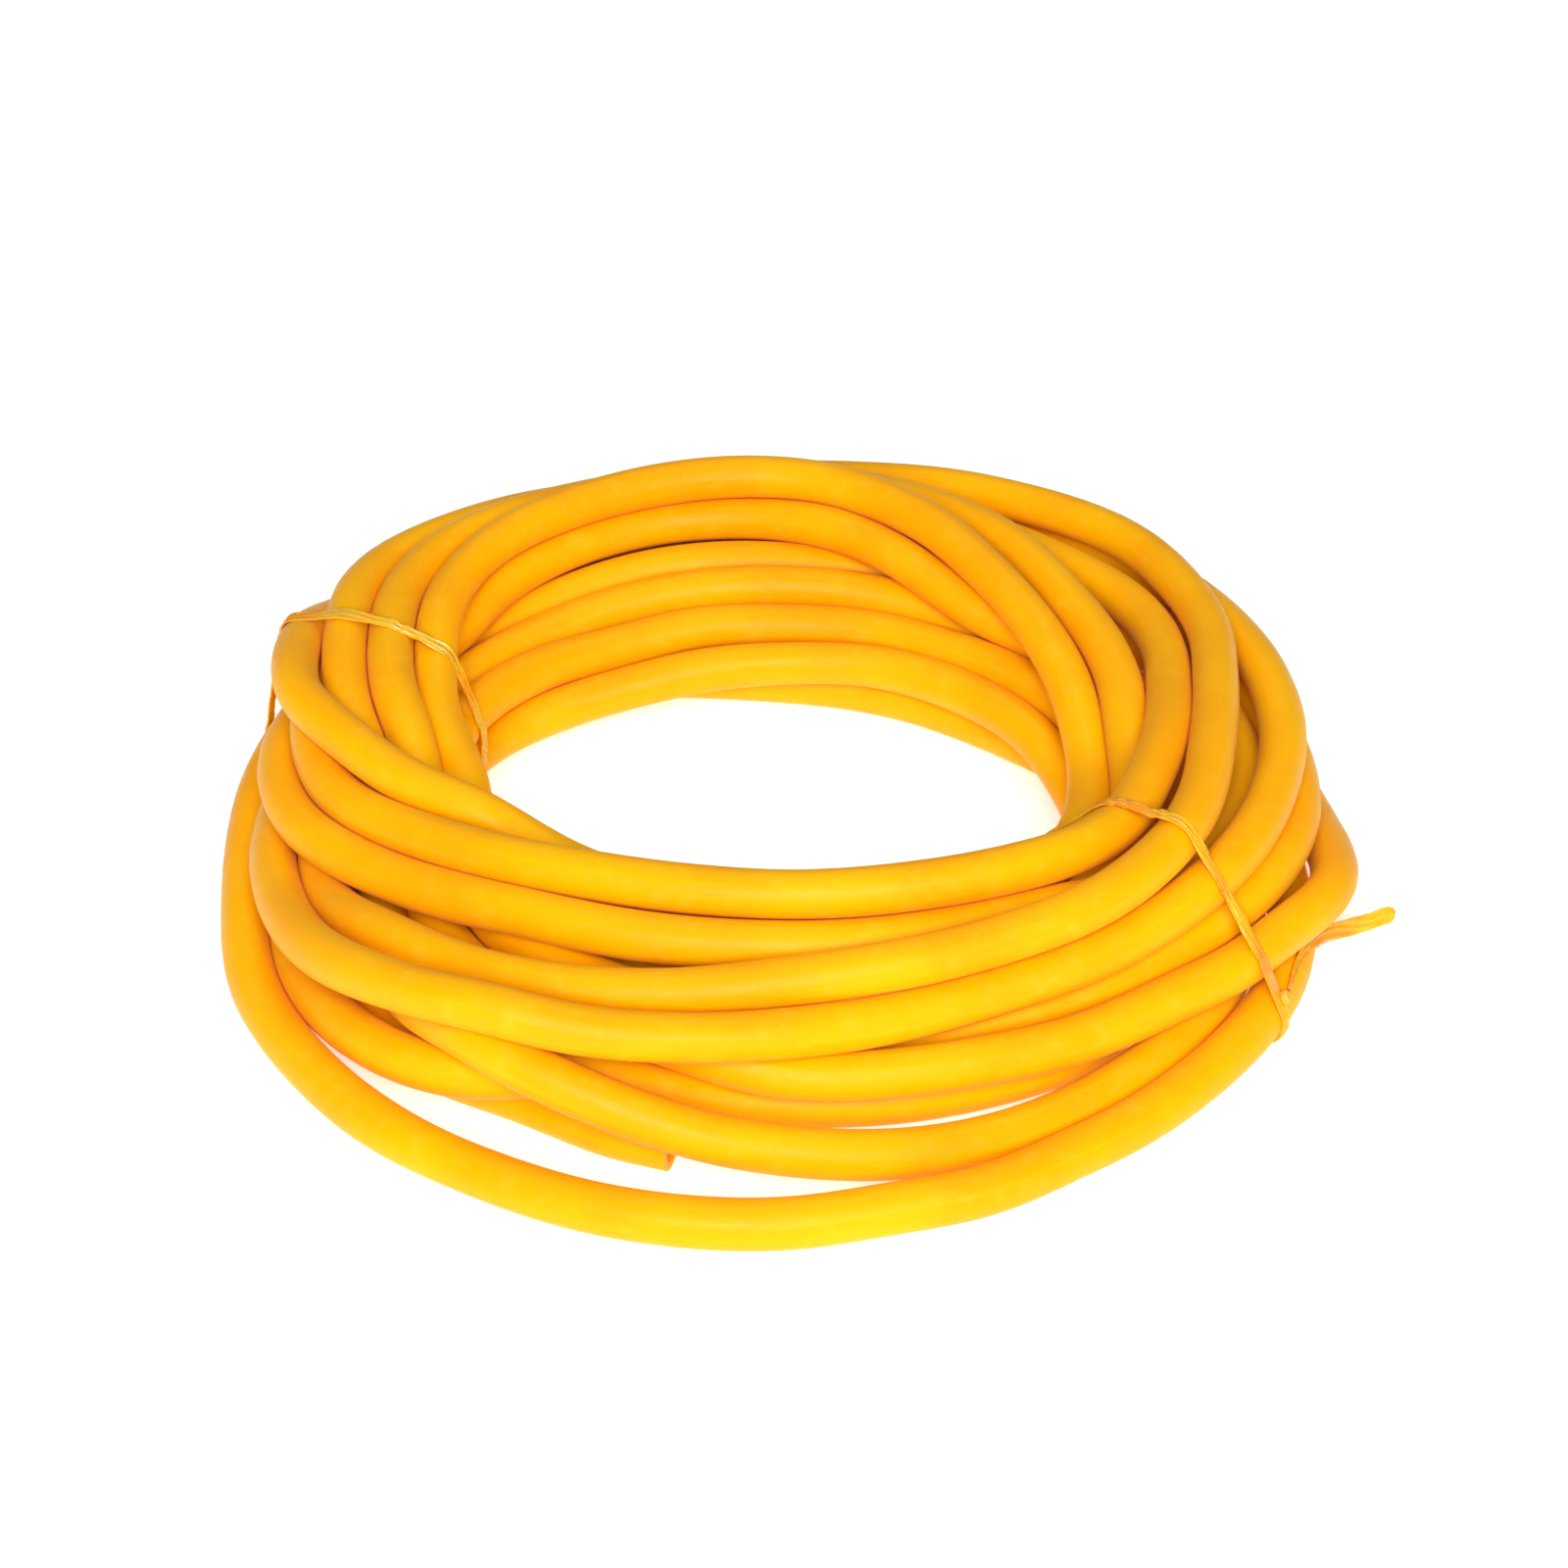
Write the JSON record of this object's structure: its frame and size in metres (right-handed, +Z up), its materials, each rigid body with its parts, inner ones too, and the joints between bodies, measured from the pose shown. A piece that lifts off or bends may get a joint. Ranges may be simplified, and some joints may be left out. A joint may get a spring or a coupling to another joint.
{
  "type": "coil of latex tubing",
  "caption": "Loose hand-wound coil of round latex rubber tubing lying flat, held by two flat ribbon ties, with an open cut end at the front.",
  "frame": {"origin": "centre of the object's bounding box at the floor", "axes": "+Z up, +X to the right along the longest side, -Y towards the front, where the loose turns and the cut end lie"},
  "size_m": [0.2996, 0.291, 0.0487],
  "materials": {
    "latex": "satin",
    "ribbon": "glossy film"
  },
  "bodies": {
    "root": {"tube_coil": "latex", "tube_front_turn": "latex", "tube_right_turn": "latex", "tube_crossing_turn": "latex", "tube_cut_end": "latex", "left_tie": "ribbon", "right_tie": "ribbon"}
  },
  "joints": []
}
